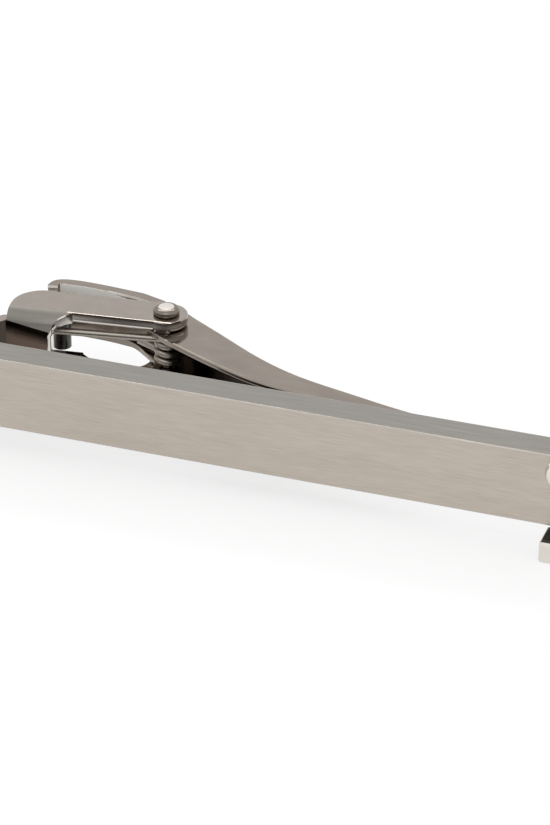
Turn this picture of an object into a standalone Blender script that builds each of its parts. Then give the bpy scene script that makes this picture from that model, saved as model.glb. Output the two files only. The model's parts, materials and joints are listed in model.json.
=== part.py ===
"""Tie bar with a sprung jaw: a flat bar, a riveted bracket, a rocking jaw lever and its torsion spring.

Frame: X along the bar, -Y out of its front face, +Z up. The origin is the middle of the bar's back face.
Sizes are in millimetres and become metres where the meshes are made.
"""
import math

import bmesh
import bpy
from mathutils import Matrix, Vector

MM = 0.001

# Bar
BAR_LENGTH = 60.0
BAR_HEIGHT = 6.0
BAR_THICKNESS = 2.6
BAR_CHAMFER = 0.14

# Clearances
RUN_GAP = 0.08        # between sheets and pins that move past each other
SOLDER_GAP = 0.04     # solder film between soldered faces

# Hinge, measured from the middle of the bar's back face
PIVOT_X = -11.8
PIVOT_STANDOFF = 8.4
PIN_RADIUS = 0.42
RIVET_HEAD_RADIUS = 1.03
RIVET_HEAD_RISE = 0.58
RIVET_DOME = ((0.0, 1.0), (0.45, 0.96), (0.85, 0.72), (1.0, 0.45))  # shares of the head's radius and rise

# Bracket: a bent strip whose two arms carry the rivet. Its own frame has the pivot at zero
BRACKET_SHEET = 0.9
BRACKET_WIDTH = 6.2
BRACKET_TILT = math.radians(7.0)
EAR_END_RADIUS = 1.68
ARM_FRONT = 1.5        # arms' front edge from the pivot
WEB_FRONT = 2.45       # web's front face from the pivot
ARM_REACH = 12.35      # pivot to the closed end of the channel
WEB_LENGTH = 3.65
WEB_RUNOUT = 1.5       # length over which the web's edge runs out into the arms
HOOD_RADIUS = 2.4      # rounded rear corner at the closed end
BEND_RADIUS = 1.2
WINDOW_ROUND = 1.2
WINDOW_INTO_WEB = 0.1
# Daylight seen under the lever: the lower arm is cut away behind this line
SCOOP = ((-7.8, 3.0), (-7.5, 1.9), (-6.85, 1.2), (-6.1, 0.7), (-5.1, 0.35), (-3.4, 0.15), (-2.3, 0.6),
         (-1.8, 1.6), (-1.7, 3.0))
NECK_WIDTH = 4.8
NECK_INSET = 0.02      # the neck's faces lie this far inside the web's
NECK_RUN = 1.9         # length along the bar in which the neck comes down
NECK_SHOULDER = 0.6
HEEL_RADIUS = 0.6
FOOT_LENGTH = 3.4

# Jaw lever: a channel that opens towards the bar
LEVER_SHEET = 0.45
JAW_LENGTH = 25.3      # pivot to tip
THUMB_LENGTH = 11.2    # pivot to the curled end
LEVER_RISE = 2.55      # back of the lever behind the pivot
THUMB_RISE = 4.2       # back of the thumb plate behind the pivot
EAR_REACH = 2.0        # flange in front of the pivot
TIP_GAP = 0.1
TIP_THICKNESS = 0.9
TOOTH_COUNT = 4
TOOTH_PITCH = 1.1
TOOTH_DEPTH = 0.35
ROOT_RISE = 0.02       # each root a little higher than the one nearer the tip
# Back of the thumb plate, from the curled end: along the bar, and down from the plate's highest line
THUMB_BACK = ((1.5, -3.55), (0.98, -3.0), (0.42, -2.35), (0.08, -1.6), (0.07, -1.0), (0.4, -0.44),
              (1.2, -0.12), (2.45, 0.0), (3.8, -0.03), (5.6, -0.15), (8.45, -0.54))
THUMB_SHEET = 0.78
THUMB_ROLL = (1.77, -3.04)  # centre of the rolled end, in the same terms
ROLL_RADIUS = 0.75
THUMB_HALF = 2.34      # half the thumb plate's height, wider than the channel
PLATE_STEP = 0.02      # the plate's faces stand this far proud of the channel's
PLATE_POINTS = (3.0, 10.5)  # stretch of that line, counted in points, along which the plate is wide
BARE_POINTS = 9        # points of that line with no flange in front
# Back and front of the jaw: share of its length, and share of its height above the tip
JAW_BACK = ((0.0, 1.0), (0.05, 0.945), (0.177, 0.745), (0.345, 0.475), (0.496, 0.30), (0.671, 0.178),
            (0.84, 0.07), (1.0, 0.0))
JAW_FRONT = ((0.0, 1.0), (0.13, 0.711), (0.25, 0.479), (0.36, 0.30), (0.47, 0.19), (0.62, 0.10), (0.78, 0.03))
# Front of the flanges from the pivot to the thumb plate
EAR_FRONT = ((-1.0, -1.0), (-1.2, 0.3), (-1.8, 0.95), (-3.7, 2.55))

# Torsion spring
WIRE_RADIUS = 0.18
COIL_RADIUS = 0.74     # axis to wire centre
COIL_GAP = 0.46
LAST_CURL = 0.4        # part of a curl that aims the moving leg at the thumb plate
POINTS_PER_CURL = 10
FIXED_LEG = 9.7
FIXED_LEG_TURN = math.radians(3.2)
MOVING_LEG = 4.2

# Ornament on the front face: a plain trefoil on a square foot
ORNAMENT_INSET = 4.65  # centre from the bar's right end
ORNAMENT_PROUD = 1.45
SIDE_LOBE_RADIUS = 1.25
SIDE_LOBE_SPREAD = 2.05
SIDE_LOBE_LIFT = 2.1
TOP_LOBE_RADIUS = 1.35
TOP_LOBE_LIFT = 4.1
LOBE_STEP = 0.15       # lobes proud of the stem
STEM_WIDTH = 1.7
STEM_TOP = 3.4
FLARE = 0.5            # hollow of the flank between stem and foot
FOOT_WIDTH = 6.8
FOOT_HEIGHT = 1.75
FOOT_DROP = 0.62       # foot below the bar's lower edge
FOOT_LEDGE = 1.2       # foot beyond the stem's flank on each side
FOOT_UNDER = 1.0       # foot reaching back under the bar
ORNAMENT_ROUND = 0.2

PIVOT = Vector((PIVOT_X, PIVOT_STANDOFF, 0.0))
ARM_OUTER = BRACKET_WIDTH / 2
ARM_INNER = ARM_OUTER - BRACKET_SHEET
LEVER_OUTER = ARM_INNER - RUN_GAP
LEVER_INNER = LEVER_OUTER - LEVER_SHEET
BORE_RADIUS = PIN_RADIUS + RUN_GAP
ROUND_STEPS = 40
LEVER_STEPS = 4


def clear_scene():
    for item in list(bpy.data.objects):
        bpy.data.objects.remove(item, do_unlink=True)


def new_collection(name):
    group = bpy.data.collections.new(name)
    bpy.context.scene.collection.children.link(group)
    return group


def finish_material(name, colour, roughness):
    material = bpy.data.materials.new(name)
    material.use_nodes = True
    shader = material.node_tree.nodes["Principled BSDF"]
    shader.inputs["Base Color"].default_value = (*colour, 1.0)
    shader.inputs["Metallic"].default_value = 1.0
    shader.inputs["Roughness"].default_value = roughness
    return material


def smooth_line(points, steps=6):
    """Points of a smooth curve that passes through the given ones."""
    line = []
    ends = [points[0], *points, points[-1]]
    for before, start, end, after in zip(ends, ends[1:], ends[2:], ends[3:]):
        for step in range(steps):
            t = step / steps
            pair = []
            for a, b, c, d in zip(before, start, end, after):
                bend = 2 * a - 5 * b + 4 * c - d
                twist = 3 * (b - c) + d - a
                pair.append(0.5 * (2 * b + (c - a) * t + bend * t * t + twist * t ** 3))
            line.append(tuple(pair))
    line.append(tuple(points[-1]))
    return line


def arc(centre, radius, start, end, steps=8):
    """Points on a circle from one angle to another, in degrees."""
    angles = [math.radians(start + (end - start) * i / steps) for i in range(steps + 1)]
    return [(centre[0] + radius * math.cos(a), centre[1] + radius * math.sin(a)) for a in angles]


def offset_line(points, distance):
    """The same open line moved to its left by a distance."""
    moved = []
    for i, point in enumerate(points):
        ahead = Vector(points[min(i + 1, len(points) - 1)])
        behind = Vector(points[max(i - 1, 0)])
        run = (ahead - behind).normalized()
        moved.append((point[0] - run.y * distance, point[1] + run.x * distance))
    return moved


def plate(name, outline, low, high, turn=None):
    """Mesh object of a flat outline in X and Y, between two heights in Z."""
    curve = bpy.data.curves.new(name, "CURVE")
    curve.dimensions = "2D"
    curve.fill_mode = "BOTH"
    curve.extrude = (high - low) / 2 * MM
    spline = curve.splines.new("POLY")
    spline.points.add(len(outline) - 1)
    for knot, (x, y) in zip(spline.points, outline):
        knot.co = (x * MM, y * MM, 0.0, 1.0)
    spline.use_cyclic_u = True
    holder = bpy.data.objects.new(name + "_outline", curve)
    bpy.context.scene.collection.objects.link(holder)
    place = Matrix.Translation((0, 0, (low + high) / 2 * MM))
    if turn is not None:
        place = turn @ place
    mesh = bpy.data.meshes.new_from_object(holder.evaluated_get(bpy.context.evaluated_depsgraph_get()))
    bpy.data.objects.remove(holder, do_unlink=True)
    shape = bmesh.new()
    shape.from_mesh(mesh)
    bmesh.ops.remove_doubles(shape, verts=shape.verts, dist=1e-7)
    bmesh.ops.transform(shape, matrix=place, verts=shape.verts)
    bmesh.ops.recalc_face_normals(shape, faces=shape.faces)
    shape.to_mesh(mesh)
    shape.free()
    mesh.name = name
    return bpy.data.objects.new(name, mesh)


def cylinder(name, radius, low, high, centre):
    shape = bmesh.new()
    middle = Matrix.Translation((centre[0] * MM, centre[1] * MM, (low + high) / 2 * MM))
    bmesh.ops.create_cone(shape, cap_ends=True, segments=ROUND_STEPS, radius1=radius * MM,
                          radius2=radius * MM, depth=(high - low) * MM, matrix=middle)
    mesh = bpy.data.meshes.new(name)
    shape.to_mesh(mesh)
    shape.free()
    return bpy.data.objects.new(name, mesh)


def boolean(target, cutter, operation="DIFFERENCE"):
    cutters.objects.link(cutter)
    cutter.hide_render = True
    cutter.display_type = "WIRE"
    cut = target.modifiers.new(operation.title() + " " + cutter.name, "BOOLEAN")
    cut.operation = operation
    cut.object = cutter
    cut.solver = "EXACT"


def add_part(item, material):
    parts.objects.link(item)
    item.data.materials.clear()
    item.data.materials.append(material)
    item.data.shade_smooth()
    item.data.set_sharp_from_angle(angle=math.radians(35))
    return item


def soften(item, width, segments=2, limit=40):
    edge = item.modifiers.new("Softened edges", "BEVEL")
    edge.width = width * MM
    edge.segments = segments
    edge.limit_method = "ANGLE"
    edge.angle_limit = math.radians(limit)


def make_bar():
    half = BAR_LENGTH / 2
    outline = [(-half, -BAR_THICKNESS), (half, -BAR_THICKNESS), (half, 0), (-half, 0)]
    bar = plate("bar", outline, -BAR_HEIGHT / 2, BAR_HEIGHT / 2)
    soften(bar, BAR_CHAMFER, segments=1)
    return bar


def bracket_frame():
    """Turns and moves the bracket's own frame, with its pivot at zero, into place."""
    return Matrix.Translation(PIVOT * MM) @ Matrix.Rotation(BRACKET_TILT, 4, "Z")


def neck_band():
    """Outline of the strip that runs from the soldered foot up to the channel's web."""
    turned = Matrix.Rotation(BRACKET_TILT, 4, "Z")
    web_middle = -WEB_FRONT + BRACKET_SHEET / 2
    join = PIVOT + turned @ Vector((-ARM_REACH + WEB_LENGTH / 2, web_middle, 0))
    start = PIVOT + turned @ Vector((-ARM_REACH, web_middle, 0))
    half = BRACKET_SHEET / 2 - NECK_INSET
    floor = SOLDER_GAP + half
    heel = start.x - NECK_RUN - HEEL_RADIUS
    line = [(heel - FOOT_LENGTH, floor), (heel - 2 * HEEL_RADIUS, floor), (heel, floor + HEEL_RADIUS),
            (start.x - NECK_RUN, (start.y + floor) / 2), (start.x - NECK_SHOULDER, start.y - NECK_SHOULDER),
            (start.x, start.y), (join.x, join.y)]
    path = smooth_line(line)
    return offset_line(path, half) + offset_line(path, -half)[::-1]


def bracket_outline():
    """The bracket seen along the hinge: web, run-out, arm and rounded rear corner."""
    left = -ARM_REACH
    web_end = left + WEB_LENGTH
    rear = EAR_END_RADIUS
    run_out = smooth_line([(web_end, -WEB_FRONT), (web_end + WEB_RUNOUT / 2, -(WEB_FRONT + ARM_FRONT) / 2),
                           (web_end + WEB_RUNOUT, -ARM_FRONT)], steps=4)
    ear = math.degrees(math.acos(ARM_FRONT / EAR_END_RADIUS))
    corner = (left + HOOD_RADIUS, rear - HOOD_RADIUS)
    return [(left, -WEB_FRONT), *run_out, *arc((0, 0), EAR_END_RADIUS, -90 - ear, 90, 20),
            *arc(corner, HOOD_RADIUS, 90, 180, 12)]


def make_bracket():
    left = -ARM_REACH
    bracket = plate("bracket", bracket_outline(), -ARM_OUTER, ARM_OUTER, bracket_frame())
    past = 2 * EAR_END_RADIUS
    web_back = -WEB_FRONT + BRACKET_SHEET
    hollow = [(left - past, web_back), (past, web_back), (past, past), (left - past, past)]
    boolean(bracket, plate("bracket_hollow", hollow, -ARM_INNER, ARM_INNER, bracket_frame()))
    half = ARM_INNER - RUN_GAP / 2
    corner_x = left + WEB_LENGTH - WINDOW_INTO_WEB + WINDOW_ROUND
    corner_z = half - WINDOW_ROUND
    window = [(past, -half), (past, half), *arc((corner_x, corner_z), WINDOW_ROUND, 90, 180),
              *arc((corner_x, -corner_z), WINDOW_ROUND, 180, 270)]
    upright = bracket_frame() @ Matrix.Rotation(math.radians(90), 4, "X")
    boolean(bracket, plate("bracket_window", window, -past, past, upright))
    boolean(bracket, plate("bracket_scoop", smooth_line(SCOOP), -2 * ARM_OUTER, 0, bracket_frame()))
    neck = plate("bracket_neck", neck_band(), -NECK_WIDTH / 2, NECK_WIDTH / 2)
    boolean(bracket, neck, "UNION")
    along = bracket_frame() @ Matrix(((0, 0, 1, 0), (1, 0, 0, 0), (0, 1, 0, 0), (0, 0, 0, 1)))
    for side in (-1, 1):
        bend = [(-WEB_FRONT + BEND_RADIUS + x, side * (ARM_OUTER - BEND_RADIUS + z))
                for x, z in arc((0, 0), BEND_RADIUS, 180, 90, 10)]
        beyond = side * 2 * ARM_OUTER
        corner = bend + [(-WEB_FRONT + BEND_RADIUS, beyond), (-2 * WEB_FRONT, beyond),
                         (-2 * WEB_FRONT, side * (ARM_OUTER - BEND_RADIUS))]
        boolean(bracket, plate("bracket_bend_%d" % side, corner, left - SOLDER_GAP, past, along))
    boolean(bracket, cylinder("bracket_bore", BORE_RADIUS, -ARM_OUTER * 2, ARM_OUTER * 2, PIVOT))
    return bracket


def lever_back():
    """The lever's rear line, from the curled thumb end to the jaw's tip."""
    end = PIVOT.x - THUMB_LENGTH
    highest = PIVOT.y + THUMB_RISE
    tip = TIP_GAP + TIP_THICKNESS
    drop = PIVOT.y + LEVER_RISE - tip
    thumb = [(end + along, highest + down) for along, down in THUMB_BACK]
    jaw = [(PIVOT.x + along * JAW_LENGTH, tip + drop * high) for along, high in JAW_BACK]
    return smooth_line(thumb + jaw, LEVER_STEPS)


def lever_front():
    """The flanges' front line, from the jaw's tip back to the curled thumb end."""
    low = TIP_GAP + TOOTH_DEPTH
    height = PIVOT.y - EAR_REACH - low
    flange = [(PIVOT.x + along * JAW_LENGTH, low + height * high) for along, high in JAW_FRONT]
    tip_x = PIVOT.x + JAW_LENGTH
    teeth = []
    for tooth in range(TOOTH_COUNT):
        crest = tip_x - TOOTH_PITCH * tooth
        teeth += [(crest, TIP_GAP), (crest - TOOTH_PITCH * 3 / 4, low + ROOT_RISE * tooth)]
    ear = [(PIVOT.x + along, PIVOT.y + across) for along, across in EAR_FRONT]
    bare = lever_back()[:BARE_POINTS * LEVER_STEPS + 1]
    thumb = offset_line(bare, -THUMB_SHEET)[::-1]
    return teeth + smooth_line(flange[::-1] + ear + thumb[:1], LEVER_STEPS) + thumb[1:]


def lever_hollow():
    """The space inside the channel, open towards the bar."""
    inner = offset_line(lever_back(), -LEVER_SHEET)[BARE_POINTS * LEVER_STEPS:]
    tip_x = PIVOT.x + JAW_LENGTH
    kept = [point for point in inner if point[0] < tip_x - TIP_THICKNESS]
    return [*kept, (kept[-1][0], -BAR_THICKNESS), (kept[0][0], -BAR_THICKNESS)]


def thumb_plate():
    """Outline of the wide plate that the thumb presses."""
    first, last = [round(point * LEVER_STEPS) for point in PLATE_POINTS]
    line = lever_back()[first:last + 1]
    front = offset_line(line, -THUMB_SHEET - PLATE_STEP)
    return offset_line(line, PLATE_STEP) + front[::-1]


def make_lever():
    lever = plate("jaw_lever", lever_back() + lever_front(), -LEVER_OUTER, LEVER_OUTER)
    boolean(lever, plate("lever_hollow", lever_hollow(), -LEVER_INNER, LEVER_INNER))
    boolean(lever, plate("thumb_plate", thumb_plate(), -THUMB_HALF, THUMB_HALF), "UNION")
    roll = (PIVOT.x - THUMB_LENGTH + THUMB_ROLL[0], PIVOT.y + THUMB_RISE + THUMB_ROLL[1])
    half = LEVER_OUTER - PLATE_STEP
    boolean(lever, cylinder("thumb_roll", ROLL_RADIUS, -half, half, roll), "UNION")
    boolean(lever, cylinder("lever_bore", BORE_RADIUS, -LEVER_OUTER * 2, LEVER_OUTER * 2, PIVOT))
    return lever


def make_rivet():
    """Turned pin with two domed heads, drawn as half a section and spun round the hinge axis."""
    top = ARM_OUTER + SOLDER_GAP
    dome = [(RIVET_HEAD_RADIUS * out, top + RIVET_HEAD_RISE * up) for out, up in RIVET_DOME]
    half = dome + [(RIVET_HEAD_RADIUS, top), (PIN_RADIUS, top)]
    section = half + [(r, -z) for r, z in half[::-1]]
    shape = bmesh.new()
    points = [shape.verts.new((r * MM, 0, z * MM)) for r, z in section]
    for above, below in zip(points, points[1:]):
        shape.edges.new((above, below))
    mesh = bpy.data.meshes.new("hinge_rivet")
    shape.to_mesh(mesh)
    shape.free()
    rivet = bpy.data.objects.new("hinge_rivet", mesh)
    rivet.location = PIVOT * MM
    spin = rivet.modifiers.new("Turned", "SCREW")
    spin.steps = spin.render_steps = ROUND_STEPS
    spin.use_merge_vertices = True
    spin.merge_threshold = 1e-6
    return rivet


def spring_path():
    """Wire centre line: fixed leg, curls round the pin, moving leg."""
    pitch = 2 * WIRE_RADIUS + COIL_GAP
    room = 2 * (LEVER_INNER - RUN_GAP - WIRE_RADIUS)
    curls = math.floor(room / pitch - LAST_CURL) + LAST_CURL
    top = curls * pitch / 2
    start = math.radians(-90) + BRACKET_TILT + FIXED_LEG_TURN
    count = round(curls * POINTS_PER_CURL)
    coil = []
    for i in range(count + 1):
        turn = curls * i / count
        angle = start + 2 * math.pi * turn
        coil.append(PIVOT + Vector((COIL_RADIUS * math.cos(angle), COIL_RADIUS * math.sin(angle),
                                    top - pitch * turn)))
    first = Vector((math.sin(start), -math.cos(start), 0))
    last_angle = start + 2 * math.pi * curls
    last = Vector((-math.sin(last_angle), math.cos(last_angle), 0))
    return [coil[0] + first * FIXED_LEG] + coil + [coil[-1] + last * MOVING_LEG]


def least_gap(path, skip):
    """Smallest clear space between stretches of the wire that aren't neighbours."""
    fine = []
    for start, end in zip(path, path[1:]):
        fine += [start.lerp(end, i / 6) for i in range(6)]
    far = [(a - b).length for i, a in enumerate(fine) for b in fine[i + skip:]]
    return min(far) - 2 * WIRE_RADIUS


def make_spring():
    path = spring_path()
    curve = bpy.data.curves.new("torsion_spring", "CURVE")
    curve.dimensions = "3D"
    curve.bevel_depth = WIRE_RADIUS * MM
    curve.bevel_resolution = 1
    curve.use_fill_caps = True
    spline = curve.splines.new("POLY")
    spline.points.add(len(path) - 1)
    for knot, point in zip(spline.points, path):
        knot.co = (*(point * MM), 1.0)
    print("torsion_spring least gap to itself, mm:", round(least_gap(path, 4 * POINTS_PER_CURL), 3))
    return bpy.data.objects.new("torsion_spring", curve)


def make_ornament():
    centre = BAR_LENGTH / 2 - ORNAMENT_INSET
    face = BAR_THICKNESS + SOLDER_GAP
    proud = face + ORNAMENT_PROUD
    foot_top = -BAR_HEIGHT / 2 - FOOT_DROP
    foot_low = foot_top - FOOT_HEIGHT
    half = FOOT_WIDTH / 2
    waist = half - FOOT_LEDGE
    knee = ((waist + STEM_WIDTH / 2) / 2 - FLARE, foot_top / 2)
    flank = smooth_line([(waist, foot_top), knee, (STEM_WIDTH / 2, STEM_TOP)])
    root = (foot_top + foot_low) / 2
    outline = flank + [(-x, z) for x, z in flank[::-1]] + [(-waist, root), (waist, root)]
    upright = Matrix.Translation((centre * MM, 0, 0)) @ Matrix.Rotation(math.radians(90), 4, "X")
    ornament = plate("ornament", outline, face, proud - LOBE_STEP, upright)
    lobes = [(-SIDE_LOBE_SPREAD, SIDE_LOBE_LIFT, SIDE_LOBE_RADIUS), (0.0, TOP_LOBE_LIFT, TOP_LOBE_RADIUS),
             (SIDE_LOBE_SPREAD, SIDE_LOBE_LIFT, SIDE_LOBE_RADIUS)]
    for number, (x, z, radius) in enumerate(lobes):
        ring = arc((x, z), radius, 0, 360, ROUND_STEPS)[:-1]
        lobe = plate("ornament_lobe_%d" % number, ring, face + SOLDER_GAP, proud, upright)
        boolean(ornament, lobe, "UNION")
    ledge = [(-half, foot_top), (-half, foot_low), (half, foot_low), (half, foot_top)]
    boolean(ornament, plate("ornament_ledge", ledge, face - FOOT_UNDER, proud, upright), "UNION")
    soften(ornament, ORNAMENT_ROUND)
    return ornament


clear_scene()
parts = new_collection("tie_bar")
cutters = new_collection("cutters")
satin = finish_material("brushed steel", (0.50, 0.46, 0.42), 0.34)
polished = finish_material("polished gunmetal", (0.42, 0.40, 0.38), 0.16)
pin_steel = finish_material("polished pin steel", (0.56, 0.54, 0.51), 0.12)
spring_steel = finish_material("spring wire", (0.36, 0.33, 0.30), 0.24)
bright = finish_material("bright silver", (0.80, 0.78, 0.74), 0.10)
add_part(make_bar(), satin)
add_part(make_bracket(), polished)
add_part(make_lever(), polished)
add_part(make_rivet(), pin_steel)
spring = make_spring()
parts.objects.link(spring)
spring.data.materials.append(spring_steel)
add_part(make_ornament(), bright)
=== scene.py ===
# %% [markdown]
# # A tie bar with a sprung jaw
# The bar is a flat brushed strip. Behind it a bent bracket carries a rivet, and on the rivet a polished lever
# rocks against a torsion spring, so that its jaw pinches the tie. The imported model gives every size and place
# here. This lesson dresses it: finer edges, a rounder spring, and a finish for each metal.

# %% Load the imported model
import json
import math
import bmesh
import bpy
from mathutils import Matrix, Vector


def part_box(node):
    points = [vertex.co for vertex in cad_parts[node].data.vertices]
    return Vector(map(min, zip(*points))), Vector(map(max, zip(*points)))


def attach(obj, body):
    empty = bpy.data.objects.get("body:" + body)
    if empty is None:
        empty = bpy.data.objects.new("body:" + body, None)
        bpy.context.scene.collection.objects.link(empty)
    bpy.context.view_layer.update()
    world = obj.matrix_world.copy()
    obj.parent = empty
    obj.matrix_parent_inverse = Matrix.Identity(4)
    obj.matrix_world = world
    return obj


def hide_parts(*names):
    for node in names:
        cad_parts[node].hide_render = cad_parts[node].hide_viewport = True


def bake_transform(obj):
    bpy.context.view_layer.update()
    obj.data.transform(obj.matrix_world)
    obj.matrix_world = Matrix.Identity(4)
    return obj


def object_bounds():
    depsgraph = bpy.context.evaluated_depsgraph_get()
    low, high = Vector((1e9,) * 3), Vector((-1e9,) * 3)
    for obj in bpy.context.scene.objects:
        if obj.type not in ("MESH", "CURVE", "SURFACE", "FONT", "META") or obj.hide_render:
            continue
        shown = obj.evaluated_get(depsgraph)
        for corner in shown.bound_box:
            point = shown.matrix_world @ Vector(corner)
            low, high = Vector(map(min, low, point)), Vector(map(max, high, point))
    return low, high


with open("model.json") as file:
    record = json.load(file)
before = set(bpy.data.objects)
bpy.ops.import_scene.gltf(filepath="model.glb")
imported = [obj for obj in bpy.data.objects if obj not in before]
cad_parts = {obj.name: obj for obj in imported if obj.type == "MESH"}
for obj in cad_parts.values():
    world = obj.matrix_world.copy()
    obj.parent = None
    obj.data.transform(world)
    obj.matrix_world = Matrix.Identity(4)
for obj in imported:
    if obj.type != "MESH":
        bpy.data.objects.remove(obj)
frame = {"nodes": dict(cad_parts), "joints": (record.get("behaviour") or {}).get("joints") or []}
cad_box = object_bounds()
MM = 0.001
ALONG, UP = Vector((1, 0, 0)), Vector((0, 0, 1))
hinge = next(joint for joint in frame["joints"] if joint["name"] == "jaw_hinge")
PIVOT = Vector(hinge["pos_m"])
print("nodes:", sorted(frame["nodes"]))
print("hinge, mm:", [round(value / MM, 2) for value in PIVOT])

# %% [markdown]
# ## A short way to write shaders
# A finish could be wired by hand, node by node, but the wiring hides what the finish is. Here a `Socket` stands for
# one output of a shader node, and adding or multiplying two of them makes the Math node, so a finish reads as a sum.
# `Finish.node` makes any node, sets its inputs and gives back one of its outputs.

# %% Shader helpers
class Socket:
    def __init__(self, finish, socket):
        self.finish = finish
        self.socket = socket

    def math(self, operation, first, second):
        return self.finish.node("ShaderNodeMath", {0: first, 1: second}, operation=operation)

    def __add__(self, other):
        return self.math("ADD", self, other)

    def __radd__(self, other):
        return self.math("ADD", other, self)

    def __sub__(self, other):
        return self.math("SUBTRACT", self, other)

    def __rsub__(self, other):
        return self.math("SUBTRACT", other, self)

    def __mul__(self, other):
        return self.math("MULTIPLY", self, other)

    def __rmul__(self, other):
        return self.math("MULTIPLY", other, self)


class Finish:
    def __init__(self, name, color, roughness, metallic=1.0):
        self.material = bpy.data.materials.new(name)
        self.material.use_nodes = True
        self.tree = self.material.node_tree
        self.shader = self.tree.nodes["Principled BSDF"]
        self.shader.inputs["Base Color"].default_value = (*color, 1.0)
        self.shader.inputs["Roughness"].default_value = roughness
        self.shader.inputs["Metallic"].default_value = metallic
        self.place = self.node("ShaderNodeTexCoord", output="Object")

    def node(self, kind, inputs=None, output=0, **settings):
        made = self.tree.nodes.new(kind)
        for name, value in settings.items():
            setattr(made, name, value)
        for name, value in (inputs or {}).items():
            self.plug(made.inputs[name], value)
        return Socket(self, made.outputs[output])

    def plug(self, target, value):
        if isinstance(value, Socket):
            self.tree.links.new(value.socket, target)
        else:
            target.default_value = value

    def set(self, name, value):
        self.plug(self.shader.inputs[name], value)

    def noise(self, grain, detail=3.0):
        """Noise whose grains are `grain` millimetres long in X, Y and Z."""
        scale = [1 / (length * MM) for length in grain]
        place = self.node("ShaderNodeVectorMath", {0: self.place, 1: scale}, operation="MULTIPLY")
        return self.node("ShaderNodeTexNoise", {"Vector": place, "Scale": 1.0, "Detail": detail})

    def fade(self, rise, start, end, least=0.0, foot=Vector()):
        """Goes from `least` to 1 between two heights along `rise`, in millimetres from the point `foot`."""
        height = self.node("ShaderNodeVectorMath", {0: self.place, 1: rise}, output="Value", operation="DOT_PRODUCT")
        level = foot.dot(rise)
        return self.node("ShaderNodeMapRange", {"Value": height, "From Min": level + start * MM,
                                                "From Max": level + end * MM, "To Min": least})

    def blend(self, share, first, second):
        """Mixes two colours. A Mix node keeps its colours in inputs 6 and 7 and output 2."""
        return self.node("ShaderNodeMix", {"Factor": share, 6: (*first, 1.0), 7: (*second, 1.0)}, output=2,
                         data_type="RGBA")

    def bump(self, height, depth):
        self.set("Normal", self.node("ShaderNodeBump", {"Height": height, "Strength": 1.0, "Distance": depth * MM}))

# %% [markdown]
# ## Plain metals
# Most of the pieces are one metal with the faint haze that handling leaves. A single colour would look like plastic,
# and a picture of metal would need a map, so a soft noise moves colour and roughness together a little.

# %% Plain metals
def mottled(name, grain, dark, light, roughness, spread, detail=2.0):
    """A metal whose colour and roughness wander together, in grains of a given size."""
    middle = [(least + most) / 2 for least, most in zip(dark, light)]
    finish = Finish(name, middle, roughness + spread / 2)
    drift = finish.noise(grain, detail)
    finish.set("Base Color", finish.blend(drift, dark, light))
    finish.set("Roughness", drift * spread + roughness)
    return finish


HAZE = (1.6, 1.6, 1.6)
side = mottled("plain side", (4.0, 0.25, 0.25), (0.23, 0.22, 0.2), (0.31, 0.295, 0.27), 0.17, 0.08, detail=3.0)
# Painted highlight: the bar's rounded edges are lighter than its sides, so that they read as bright lines.
edge_highlight = mottled("bar edge, painted highlight", (3.0, 0.3, 0.3), (0.42, 0.385, 0.345), (0.6, 0.555, 0.5), 0.25, 0.15)
# The bar's dark back; the same near black is painted shade on the bracket's neck and inside the lever's jaw.
back_and_shade = mottled("dark back and painted shade", (5.0, 1.0, 1.0), (0.055, 0.045, 0.037), (0.09, 0.075, 0.063), 0.12, 0.1)
polished = mottled("polished bracket", HAZE, (0.32, 0.28, 0.245), (0.38, 0.34, 0.305), 0.07, 0.1)
# Painted shade: the top facets of the bracket's bend are darker than the polished sheet, to hold back a highlight.
crease = mottled("dull crease, painted shade", HAZE, (0.21, 0.195, 0.174), (0.25, 0.232, 0.207), 0.4, 0.12)
darker = mottled("polished lever", (2.4, 1.2, 1.2), (0.25, 0.215, 0.185), (0.33, 0.29, 0.25), 0.08, 0.1)
# Painted shade: near black for the top of the ornament's foot and for the lever's rolled end.
ledge_and_roll_shade = mottled("ledge and roll, painted shade", (1.0, 1.0, 1.0), (0.06, 0.06, 0.057), (0.12, 0.12, 0.113), 0.14, 0.1)
pin_steel = mottled("pin steel", (0.5, 0.5, 0.08), (0.18, 0.155, 0.13), (0.25, 0.22, 0.19), 0.1, 0.1)
wire_steel = mottled("spring wire", (0.3, 0.3, 0.3), (0.36, 0.33, 0.29), (0.46, 0.42, 0.37), 0.28, 0.1)
# The ornament's own bright metal; on the rivet's top and the bracket's rim and arm edge it is a painted highlight.
silver = mottled("bright silver", (1.2, 1.2, 1.2), (0.7, 0.66, 0.605), (0.8, 0.76, 0.705), 0.1, 0.1)
print("finishes:", [material.name for material in bpy.data.materials if material.use_nodes])

# %% [markdown]
# ## The brushed face
# A brush drawn along the bar leaves fine lines, much longer than they are wide. Thousands of cut grooves would be
# too heavy, so a stretched noise gives the lines, a broad one gives lighter and darker patches, and a shallow bump
# lets the lines catch the light.

# %% Brushed face
BRUSH_LINE = (1.8, 0.055, 0.055)
brushed = Finish("brushed face", (0.48, 0.425, 0.37), 0.34)
lines = brushed.noise(BRUSH_LINE, detail=4.0)
patches = brushed.noise((9.0, 3.0, 1.2))
brushed.set("Base Color", brushed.blend(lines * 0.75 + patches * 0.25, (0.34, 0.3, 0.26), (0.68, 0.61, 0.54)))
brushed.set("Roughness", lines * 0.16 + 0.27)
brushed.bump(lines, 0.004)
print("brushed lines, mm long:", BRUSH_LINE[0])

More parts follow.
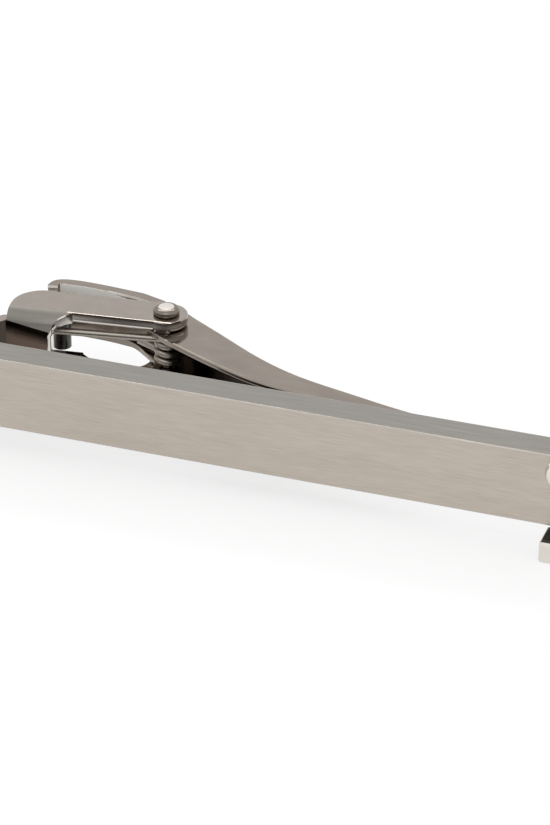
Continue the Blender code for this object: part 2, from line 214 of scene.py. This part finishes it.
# %% [markdown]
# ## Finishes with painted light and shade
# The thumb plate is paler high up as painted light. The bracket's bend is satiny, darker than the sheet as painted
# shade and paler towards the web as painted light; the web itself goes from black to brown as painted shade and
# reflection, and the arm's front edge has painted reflections in bands. One finish per band would leave hard borders,
# so each of these fades along a direction: `WEB_LINE` is a point on the line where bend and web meet, `WEB_RISE`
# crosses that line, and `BEND_RISE` is nearly upright.

# %% Changing finishes
WEB_LINE = Vector((-23.84, 4.45, 2.37)) * MM
WEB_RISE = Vector((0.635, 0.078, 3.023)).normalized()
BEND_RISE = Vector((-0.08, 0, 1))

# Painted light: the thumb plate's inner face is pale and not metallic high up, where light falls on it.
painted_light = Finish("thumb plate, painted light", (0.85, 0.83, 0.78), 0.4)
lit_share = painted_light.fade(UP, 0.5, 1.3)
painted_light.set("Base Color", painted_light.blend(lit_share, (0.25, 0.215, 0.185), (0.97, 0.95, 0.9)))
painted_light.set("Roughness", lit_share * 0.25 + painted_light.noise((1.5, 0.4, 0.4)) * 0.1 + 0.1)
painted_light.set("Metallic", 1 - lit_share)

# Painted shade and light: the bend is darker than the polished sheet, and paler and less metallic towards the web.
satin_and_shading = Finish("satiny bend, painted shade and light", (0.235, 0.22, 0.2), 0.45)
soft = satin_and_shading.noise(HAZE, detail=2.0)
painted_pale = satin_and_shading.fade(BEND_RISE, 0.1, -0.6, foot=WEB_LINE)
satin_and_shading.set("Base Color", satin_and_shading.blend(soft * 0.12 + painted_pale * 0.45, (0.21, 0.198, 0.178), (0.6, 0.57, 0.52)))
satin_and_shading.set("Roughness", soft * 0.12 + 0.4)
satin_and_shading.set("Metallic", 1 - painted_pale * 0.65)

# Painted shade and reflection: the web's face is near black high up and goes brown and not metallic lower down.
web_shading = Finish("web, painted shade and reflection", (0.07, 0.06, 0.05), 0.15)
streak = web_shading.noise((1.0, 1.0, 0.4), detail=2.0)
reflected_brown = web_shading.fade(WEB_RISE, -0.4, -1.3, foot=WEB_LINE)
web_shading.set("Base Color", web_shading.blend(reflected_brown * 0.85 + streak * 0.15, (0.05, 0.04, 0.033), (0.25, 0.18, 0.14)))
web_shading.set("Roughness", streak * 0.1 + reflected_brown * 0.2 + 0.12)
web_shading.set("Metallic", 1 - reflected_brown * 0.9)

# Painted reflection: bright bands on the arm's front, where the glow mask is high.
arm_reflection = Finish("arm front, painted reflection", (0.2, 0.17, 0.14), 0.3)
glow = arm_reflection.fade(UP, 3.0, 2.74) * arm_reflection.fade(UP, 2.42, 2.6, 0.2) * arm_reflection.fade(ALONG, -15.5, -18.4, 0.4)
arm_reflection.set("Base Color", arm_reflection.blend(glow, (0.06, 0.048, 0.04), (0.9, 0.83, 0.75)))
arm_reflection.set("Roughness", arm_reflection.noise(HAZE, detail=2.0) * 0.12 + 0.34)
print("finishes:", len([material for material in bpy.data.materials if material.use_nodes]))

# %% [markdown]
# ## Making a piece
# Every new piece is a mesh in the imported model's own frame, so its object stays at the origin. It stands for one
# node of the model and rides on that node's body. Smooth shading hides the facets of round parts, and real folds
# are marked sharp so that they stay crisp.

# %% Piece helpers
def folds(shape, least, outward=False):
    """Edges where two faces meet at more than `least` degrees; only the outward ones if asked."""
    limit = math.radians(least)
    return [edge for edge in shape.edges if len(edge.link_faces) == 2 and edge.calc_face_angle() > limit
            and (edge.is_convex or not outward)]


def finish_mesh(shape, name, sharp=35.0):
    """Turns a bmesh into an object with smooth faces and sharp folds."""
    bmesh.ops.recalc_face_normals(shape, faces=shape.faces)
    for face in shape.faces:
        face.smooth = True
    for edge in folds(shape, sharp):
        edge.smooth = False
    mesh = bpy.data.meshes.new(name)
    shape.to_mesh(mesh)
    shape.free()
    made = bpy.data.objects.new(name, mesh)
    bpy.context.scene.collection.objects.link(made)
    return made


def stand_in(made, node, body, slot, *finishes):
    """The piece takes the node's place, its body, if it has only one, and its finish."""
    for finish in finishes:
        made.data.materials.append(finish.material)
    if body:
        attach(made, body)
    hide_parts(node)
    print(made.name, "faces:", len(made.data.polygons))

# %% [markdown]
# ## Rounding edges
# Real metal has no perfectly sharp edge, and the fine rounds are what catch the light. A bevel modifier would round
# every edge alike, so the bevel operator is given chosen edges. It spoils faces that are narrower than the round,
# so edges beside such faces are left as they are.

# %% Rounding helpers
SLIVER_SHARE = 0.025
ROOM = 1.3


def is_sliver(face):
    """True if a face is long and very thin."""
    return face.calc_area() < SLIVER_SHARE * max(edge.calc_length() for edge in face.edges) ** 2


def has_room(edge, width):
    """True if the faces beside an edge leave room to round it."""
    least = ROOM * width * MM * edge.calc_length()
    return all(face.calc_area() > least and not is_sliver(face) for face in edge.link_faces)


def meets_sliver(edge):
    """True if a sliver touches either end of an edge."""
    return any(is_sliver(face) for vert in edge.verts for face in vert.link_faces)


def round_edges(shape, edges, width, segments=3):
    """Rounds the edges that have room and keeps the faces beside them flat in the shading."""
    roomy = [edge for edge in edges if has_room(edge, width)]
    rounds = set(bmesh.ops.bevel(shape, geom=roomy, offset=width * MM, offset_type="OFFSET", segments=segments,
                                 profile=0.5, affect="EDGES", clamp_overlap=False, material=-1)["faces"])
    for edge in {edge for face in rounds for edge in face.edges}:
        edge.smooth = all(face in rounds for face in edge.link_faces)
    print("rounded edges:", len(roomy), "of", len(edges))

# %% [markdown]
# ## The bar
# A plain strip, so a cube is stretched to the model's box and its edges are rounded. Only its face is brushed. The
# sides are plain, the fine rounded edges are lighter as a painted highlight, and the back is a dark plate, because
# the bracket mirrors it and looks dark there.

# %% Bar
FRONT, BACK, SIDE, EDGE = range(4)
SQUARE_ON = 0.99
BAR_ROUND = 0.1
low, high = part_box("bar")
strip = bmesh.new()
bmesh.ops.create_cube(strip, size=1.0)
bmesh.ops.transform(strip, matrix=Matrix.Translation((low + high) / 2) @ Matrix.Diagonal((*(high - low), 1)),
                    verts=strip.verts)
round_edges(strip, strip.edges[:], BAR_ROUND)
strip.normal_update()
# Faces are sorted by which way they lean; the rounded EDGE faces take the painted edge highlight.
for face in strip.faces:
    lean = face.normal
    flat = max(abs(part) for part in lean) > SQUARE_ON
    face.material_index = FRONT if lean.y < -SQUARE_ON else BACK if lean.y > SQUARE_ON else SIDE if flat else EDGE
stand_in(finish_mesh(strip, "brushed_bar"), "bar", "bar_body", "brushed_steel", brushed, back_and_shade, side, edge_highlight)

# %% [markdown]
# ## The bracket
# It is bent from one sheet: a neck, a web with a window, a hood over the web, and two arms that hold the rivet. The
# imported shape could be modelled again, but a copy of it keeps every size, so only its cut edges are rounded, as if
# they had been tumbled. Those round the window are rounder, because they carry the broad bright rim, which is also a
# painted highlight.

# %% Bracket shape
SPECK, NEARLY_FLAT = 0.01, 0.5
CUT_ANGLE = 50.0
ARM_START = -19.2 * MM
UNDERSIDE = 2.6 * MM
LOWER_ARM = -2.1 * MM
NECK_END = -23.3 * MM
WEB_END = (-20.6 * MM, -18.7 * MM)
WEB_BACK = 5.5 * MM
SHEET_ROUND, WINDOW_ROUND = 0.11, 0.28


def clean_copy(node, merge=0.03):
    """A copy of a node's mesh, with its split corners merged and its flat faces joined."""
    shape = bmesh.new()
    shape.from_mesh(frame["nodes"][node].data)
    bmesh.ops.remove_doubles(shape, verts=shape.verts, dist=merge * MM)
    bmesh.ops.dissolve_degenerate(shape, dist=SPECK * MM, edges=shape.edges)
    bmesh.ops.dissolve_limit(shape, angle_limit=math.radians(NEARLY_FLAT), verts=shape.verts, edges=shape.edges)
    shape.normal_update()
    return shape


def by_window(place):
    return place.x > WEB_END[0] and LOWER_ARM < place.z < UNDERSIDE


def web_back(place):
    return place.x < ARM_START and place.y > WEB_BACK


bent = clean_copy("bracket")
cut = [edge for edge in folds(bent, CUT_ANGLE, outward=True) if min(vert.co.x for vert in edge.verts) > NECK_END]
cut = [edge for edge in cut if not all(web_back(vert.co) for vert in edge.verts)]
lower = [edge for edge in cut if all(by_window(vert.co) for vert in edge.verts)]
upper = [edge for edge in cut if edge not in lower and not meets_sliver(edge)]
round_edges(bent, upper, SHEET_ROUND)
round_edges(bent, [edge for edge in lower if edge.is_valid], WINDOW_ROUND)
for spot, direction in (((ARM_START, 0, 0), ALONG), (WEB_LINE, WEB_RISE)):
    bmesh.ops.bisect_plane(bent, geom=bent.verts[:] + bent.edges[:] + bent.faces[:], plane_co=spot,
                           plane_no=direction)
bent.normal_update()

# %% [markdown]
# Each face of the bracket gets its finish from where it lies and which way it leans. Painting by hand would have to
# be done again after every change of shape. The two cuts above, at the arms' start and along the web's line, make
# sure that no face lies on both sides of a border. A lean is one part of a face's outward direction, from -1 to 1.

# %% Bracket finishes
SHEET, BEND, PAINTED_HIGHLIGHT, NECK_SHADE, CREASED, WEB_SHADING, ARM_REFLECTION = range(7)
RIM_TOP = 2.95 * MM
NECK_START = -23.7 * MM
NECK_BACK = 5.6 * MM
RIM_RIGHT, RIM_BACK = 0.34, 0.5
BEND_FRONT, BEND_TOP, CREASE_TOP = 0.01, 0.9999, 0.94
WEB_FRONT = 0.9
NECK_TOP = 0.5
UNDER_LEAN = 0.2
ARM_FRONT, ARM_UPRIGHT = 0.4, 0.1


def bracket_finish(middle, lean):
    """The finish of a face with this middle and this outward direction."""
    on_arm, off_arm = middle.x > ARM_START, middle.x < ARM_START
    by_rim = WEB_END[0] < middle.x < WEB_END[1] and middle.z < RIM_TOP
    above_web = (middle - WEB_LINE).dot(WEB_RISE) > 0
    # Painted highlight: the rounded rim round the window is bright.
    if by_rim and lean.x > RIM_RIGHT and lean.y < RIM_BACK:
        return PAINTED_HIGHLIGHT
    # Painted shade: the bend and its top facets are darker than the polished sheet beside them.
    if off_arm and above_web and lean.y < -BEND_FRONT and lean.z < BEND_TOP:
        return CREASED if abs(lean.z) > CREASE_TOP else BEND
    # Painted shade and reflection on the web's face.
    if off_arm and lean.y < -WEB_FRONT:
        return WEB_SHADING
    # Painted shade: the neck behind the web lies in shadow, so its faces are near black.
    if middle.x < NECK_START and middle.y < NECK_BACK and lean.z < NECK_TOP:
        return NECK_SHADE
    # Painted highlight: the rounded lower front edge of the arm is bright.
    if on_arm and 0 < middle.z < UNDERSIDE and lean.z < -UNDER_LEAN and lean.y < -UNDER_LEAN:
        return PAINTED_HIGHLIGHT
    # Painted reflection on the arm's front.
    if on_arm and middle.z > 0 and lean.y < -ARM_FRONT and abs(lean.z) < ARM_UPRIGHT:
        return ARM_REFLECTION
    return SHEET


for face in bent.faces:
    face.material_index = bracket_finish(face.calc_center_median(), face.normal)
for edge in bent.edges:
    if {face.material_index for face in edge.link_faces} in ({SHEET, CREASED}, {SHEET, ARM_REFLECTION}):
        edge.smooth = False
stand_in(finish_mesh(bent, "bent_bracket"), "bracket", "bar_body", "polished_sheet", polished, satin_and_shading, silver,
         back_and_shade, crease, web_shading, arm_reflection)

# %% [markdown]
# ## The lever
# One bent sheet again: a thumb plate with a rolled end on the left, and a hollow jaw with teeth on the right. As with
# the bracket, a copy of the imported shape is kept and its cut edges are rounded, the jaw's more than the rest. The
# edges in a narrow stretch by the thumb plate have no room and stay sharp.

# %% Lever
PLAIN, THUMB, ROLLED, HOLLOW = range(4)
NARROW = (-17.7 * MM, -14.4 * MM)
JAW_START = -10.8 * MM
JAW_ROUND, THUMB_ROUND = 0.15, 0.08
THUMB_FRONT = PIVOT.y + 2.2 * MM
ROLL = Vector((-21.23, 9.56, 0)) * MM
ROLL_REACH = 0.85 * MM
HOLLOW_START = -13.0 * MM
HOLLOW_HALF = 1.69 * MM
THUMB_LEAN, HOLLOW_LEAN = 0.8, 0.1
lever = clean_copy("jaw_lever", merge=0.006)
cut = [edge for edge in folds(lever, CUT_ANGLE, outward=True)
       if not meets_sliver(edge) and not all(NARROW[0] < vert.co.x < NARROW[1] for vert in edge.verts)]
jaw_cut = [edge for edge in cut if min(vert.co.x for vert in edge.verts) > JAW_START]
round_edges(lever, jaw_cut, JAW_ROUND)
round_edges(lever, [edge for edge in cut if edge.is_valid and edge not in jaw_cut], THUMB_ROUND)
lever.normal_update()
for face in lever.faces:
    middle, lean = face.calc_center_median(), face.normal
    # The THUMB faces take the thumb plate's painted light.
    thumb = lean.y < -THUMB_LEAN and middle.y > THUMB_FRONT
    # Painted shade: the rolled end of the thumb plate is near black.
    rolled = (middle - ROLL).xy.length < ROLL_REACH
    # Painted shade: the inside of the hollow jaw is near black.
    hollow = middle.x > HOLLOW_START and abs(middle.z) < HOLLOW_HALF and lean.y < -HOLLOW_LEAN
    face.material_index = ROLLED if rolled else HOLLOW if hollow else THUMB if thumb else PLAIN
stand_in(finish_mesh(lever, "sprung_lever"), "jaw_lever", "jaw", "polished_sheet", darker, painted_light, ledge_and_roll_shade,
         back_and_shade)

# %% [markdown]
# ## The rivet
# A turned pin with a drum and a low dome at each end. It could be built from cylinders, but they would need joining,
# so one profile is drawn and spun about the hinge. The dome is a quarter of an ellipse that meets a nearly flat top.

# %% Rivet
PIN = 0.42
DRUM_FOOT, DRUM_TOP = 3.15, 3.42
FOOT_CUT = (0.04, 0.05)
TOP_RADIUS, TOP_RISE = 0.62, 0.04
DOME_STEPS, PIN_STEPS = 8, 48
WELD = 0.0005
low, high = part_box("hinge_rivet")
head = (high.x - low.x) / 2 / MM
tall = (high.z - low.z) / 2 / MM
profile = [(PIN, 0.0), (PIN, DRUM_FOOT), (head - FOOT_CUT[0], DRUM_FOOT), (head, DRUM_FOOT + FOOT_CUT[1]),
           (head, DRUM_TOP)]
for step in range(1, DOME_STEPS + 1):
    turn = math.radians(90) * step / DOME_STEPS
    profile.append((TOP_RADIUS + (head - TOP_RADIUS) * math.cos(turn),
                    DRUM_TOP + (tall - TOP_RISE - DRUM_TOP) * math.sin(turn)))
profile += [(TOP_RADIUS / 2, tall - TOP_RISE / 4), (0.0, tall)]
outline = [(radius, -height) for radius, height in profile[:0:-1]] + profile
turned_pin = bmesh.new()
points = [turned_pin.verts.new(PIVOT + Vector((radius * MM, 0, height * MM))) for radius, height in outline]
ring = [turned_pin.edges.new(pair) for pair in zip(points, points[1:])]
bmesh.ops.spin(turned_pin, geom=points + ring, cent=PIVOT, axis=UP, angle=math.tau, steps=PIN_STEPS, use_merge=True)
bmesh.ops.remove_doubles(turned_pin, verts=turned_pin.verts, dist=WELD * MM)
# Painted highlight: the nearly flat top of each head is painted bright.
for face in turned_pin.faces:
    face.material_index = int(abs(face.calc_center_median().z) > (tall - TOP_RISE) * MM)
stand_in(finish_mesh(turned_pin, "turned_rivet", sharp=50.0), "hinge_rivet", "bar_body", "pin_steel", pin_steel, silver)

# %% [markdown]
# ## The spring
# A wire wound round the rivet, with a straight leg at each end. A curve with a round section could make it, but a
# ring of wire, spun about the hinge while it climbs, gives a clean mesh at once. Its two end rings are then drawn
# out straight: one leg lies behind the bracket's web, the other presses on the thumb plate.

# %% Spring
WIRE, WIRE_SIDES = 0.3, 12
COIL = 0.74
TURNS, STEPS = 3.4, 136
HALF_HEIGHT = 1.18
FIXED_LEG, MOVING_LEG = 9.6, 4.0
START = math.radians(-80.2)
coil = bmesh.new()
outward = Vector((math.cos(START), math.sin(START), 0))
begin = PIVOT + outward * COIL * MM + Vector((0, 0, HALF_HEIGHT * MM))
upright = Matrix.Translation(begin) @ outward.to_track_quat("X", "Z").to_matrix().to_4x4()
section = bmesh.ops.create_circle(coil, cap_ends=False, segments=WIRE_SIDES, radius=WIRE * MM,
                                  matrix=upright @ Matrix.Rotation(math.radians(90), 4, "X"))["verts"]
first_ring = list({edge for vert in section for edge in vert.link_edges})
spun = bmesh.ops.spin(coil, geom=section + first_ring, cent=PIVOT, axis=UP, angle=math.tau * TURNS, steps=STEPS,
                      dvec=(0, 0, -2 * HALF_HEIGHT * MM / STEPS))
last_ring = [item for item in spun["geom_last"] if isinstance(item, bmesh.types.BMEdge)]


def draw_out(end_ring, direction, length):
    """Pulls an end ring of the wire straight out and closes it."""
    pulled = bmesh.ops.extrude_edge_only(coil, edges=end_ring)["geom"]
    tip = [item for item in pulled if isinstance(item, bmesh.types.BMVert)]
    bmesh.ops.translate(coil, vec=direction * length * MM, verts=tip)
    bmesh.ops.contextual_create(coil, geom=[item for item in pulled if isinstance(item, bmesh.types.BMEdge)
                                            and item.is_boundary])


draw_out(first_ring, -UP.cross(outward), FIXED_LEG)
finish_turn = Matrix.Rotation(math.tau * TURNS, 3, "Z") @ outward
draw_out(last_ring, UP.cross(finish_turn), MOVING_LEG)
spring = finish_mesh(coil, "wound_spring", sharp=60.0)
stand_in(spring, "torsion_spring", None, "spring_wire", wire_steel)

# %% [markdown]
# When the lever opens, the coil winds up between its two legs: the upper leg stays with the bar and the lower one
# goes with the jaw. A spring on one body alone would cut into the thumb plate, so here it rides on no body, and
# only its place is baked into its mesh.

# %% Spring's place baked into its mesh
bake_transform(spring)

# %% [markdown]
# ## The ornament
# Its outline is nearly all out of the photograph, so a plain trefoil on a square foot takes its place: a rounded
# block, a waisted stem and three domed lobes. The stem is one drawn face pulled forward, and each lobe is a spun
# profile, which is closed at the back.

# %% Ornament
FACE, FOOT_TOP = -2.64, -3.62
FOOT_HALF, FOOT_ROUND = 3.4, 0.2
LOBES = ((-2.05, 2.1, 1.25), (0.0, 4.1, 1.35), (2.05, 2.1, 1.25))
LOBE_STEPS = 40
CROWN = ((0.0, 0.0), (0.55, 0.05), (0.85, 0.2), (1.0, 0.5))
FLANKS = ((2.2, FOOT_TOP), (1.7, -3.0), (1.2, -1.9), (0.98, 0.0), (0.9, 2.0), (0.85, 3.4))
STEM_BACK = 0.05
LEDGE_DEPTH, LEDGE_LEAN = 0.02, 0.9
low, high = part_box("ornament")
centre = (low.x + high.x) / 2 / MM
PROUD = low.y / MM
trefoil = bmesh.new()
corner = Vector((centre - FOOT_HALF, PROUD, low.z / MM)) * MM
opposite = Vector((centre + FOOT_HALF, high.y / MM, FOOT_TOP)) * MM
bmesh.ops.create_cube(trefoil, size=1.0, matrix=Matrix.Translation((corner + opposite) / 2)
                      @ Matrix.Diagonal((*(opposite - corner), 1)))
round_edges(trefoil, trefoil.edges[:], FOOT_ROUND, segments=4)
outline = list(FLANKS) + [(-x, z) for x, z in reversed(FLANKS)]
stem = trefoil.faces.new([trefoil.verts.new(Vector((centre + x, FACE, z)) * MM) for x, z in outline])
raised = bmesh.ops.extrude_face_region(trefoil, geom=[stem])["geom"]
bmesh.ops.translate(trefoil, vec=(0, (PROUD + STEM_BACK - FACE) * MM, 0),
                    verts=[item for item in raised if isinstance(item, bmesh.types.BMVert)])
for x, z, radius in LOBES:
    dome = [(radius * share, PROUD + depth) for share, depth in CROWN] + [(radius, FACE), (0.0, FACE)]
    dots = [trefoil.verts.new(Vector((centre + x + out, y, z)) * MM) for out, y in dome]
    wires = [trefoil.edges.new(pair) for pair in zip(dots, dots[1:])]
    bmesh.ops.spin(trefoil, geom=dots + wires, cent=Vector((centre + x, 0, z)) * MM, axis=(0, 1, 0), angle=math.tau,
                   steps=LOBE_STEPS, use_merge=True)
bmesh.ops.remove_doubles(trefoil, verts=trefoil.verts, dist=WELD * MM)
trefoil.normal_update()
# Painted shade: the flat top of the foot, around the stem, is near black.
for face in trefoil.faces:
    drop = abs(face.calc_center_median().z - FOOT_TOP * MM)
    face.material_index = int(face.normal.z > LEDGE_LEAN and drop < LEDGE_DEPTH * MM)
stand_in(finish_mesh(trefoil, "trefoil", sharp=30.0), "ornament", "bar_body", "bright_silver", silver, ledge_and_roll_shade)

# %% [markdown]
# ## The camera
# A long lens seen from a little above and to the right. The bar's three long edges and the upright hinge gave
# the angles: nearly parallel edges mean a distant camera, so the lens is long for its frame.

# %% Camera
ELEVATION = math.radians(30.1)
AZIMUTH = math.radians(19.15)
DISTANCE = 249.5 * MM
FOCAL_PIXELS = 3302.0
FRAME_WIDTH = 550
AIM_RIGHT, AIM_UP = 0.10 * MM, 0.83 * MM
back = Vector((math.sin(AZIMUTH) * math.cos(ELEVATION), -math.cos(AZIMUTH) * math.cos(ELEVATION),
               math.sin(ELEVATION)))
right = Vector((math.cos(AZIMUTH), math.sin(AZIMUTH), 0))
up = back.cross(right)
lens = bpy.data.cameras.new("camera")
lens.sensor_fit = "HORIZONTAL"
lens.sensor_width = 36.0
lens.lens = FOCAL_PIXELS / FRAME_WIDTH * lens.sensor_width
lens.clip_start, lens.clip_end = 0.01, 20.0
camera = bpy.data.objects.new("camera", lens)
bpy.context.scene.collection.objects.link(camera)
look = Matrix((right, up, back)).transposed().to_4x4()
camera.matrix_world = Matrix.Translation(back * DISTANCE + right * AIM_RIGHT + up * AIM_UP) @ look
bpy.context.scene.camera = camera
bpy.context.scene.view_settings.view_transform = "Standard"
print("lens, mm:", round(lens.lens, 1))

# %% [markdown]
# ## The floor
# A sheet of white paper under the ornament's foot. Lit alone it would look grey, and more light would burn out the
# metal. So what the camera and the mirrors see of it is partly plain white, and the rest keeps the shadow.

# %% Floor
FLOOR_HALF = 1.5
FLOOR_GAP = 0.02
SHADOW_SHARE = 0.3
floor_shape = bmesh.new()
bmesh.ops.create_grid(floor_shape, x_segments=1, y_segments=1, size=FLOOR_HALF,
                      matrix=Matrix.Translation((0, 0, cad_box[0][2] - FLOOR_GAP * MM)))
floor = finish_mesh(floor_shape, "floor")
paper = Finish("paper", (0.97, 0.97, 0.97), 0.9, 0.0)
fibre = paper.noise((40.0, 40.0, 40.0), detail=2.0)
paper.set("Base Color", paper.blend(fibre, (0.96, 0.96, 0.96), (0.98, 0.98, 0.98)))
seen_white = paper.node("ShaderNodeEmission", {"Color": (1, 1, 1, 1)})
rays = [paper.node("ShaderNodeLightPath", output=name)
        for name in ("Is Camera Ray", "Is Glossy Ray", "Is Transmission Ray")]
lifted = (rays[0] + rays[1] + rays[2]) * (1 - SHADOW_SHARE)
mixed = paper.node("ShaderNodeMixShader", {0: lifted, 1: Socket(paper, paper.shader.outputs[0]), 2: seen_white})
paper.plug(paper.tree.nodes["Material Output"].inputs["Surface"], mixed)
floor.data.materials.append(paper.material)
print("floor, mm below the hinge:", round((PIVOT.z - cad_box[0][2]) / MM + FLOOR_GAP, 2))

# %% [markdown]
# ## The light
# A white room, as a plain world at a strength of 1, and two soft boxes. The box behind the bar is what the rounded
# edges and the rivet's dome mirror as bright lines and a spot. The other one lifts the bar's face a little.

# %% Light
world = bpy.data.worlds.new("studio")
bpy.context.scene.world = world
world.use_nodes = True
world.node_tree.nodes["Background"].inputs["Color"].default_value = (1, 1, 1, 1)


def soft_box(name, direction, distance, width, depth, glow):
    """An oblong lamp that faces the bar and shines as `glow` times white."""
    lamp = bpy.data.lights.new(name, "AREA")
    lamp.shape = "RECTANGLE"
    lamp.size, lamp.size_y = width, depth
    lamp.energy = glow * math.pi * width * depth
    box = bpy.data.objects.new(name, lamp)
    bpy.context.scene.collection.objects.link(box)
    aim = Vector(direction).normalized()
    box.matrix_world = Matrix.Translation(aim * distance) @ aim.to_track_quat("Z", "Y").to_matrix().to_4x4()


soft_box("rear_box", (-0.284, 0.648, 0.74), 0.5, 0.30, 0.07, 5.0)
soft_box("front_box", (0.1, -0.5, 0.85), 0.6, 0.30, 0.15, 1.6)
print("lamps:", [light.name for light in bpy.data.lights])
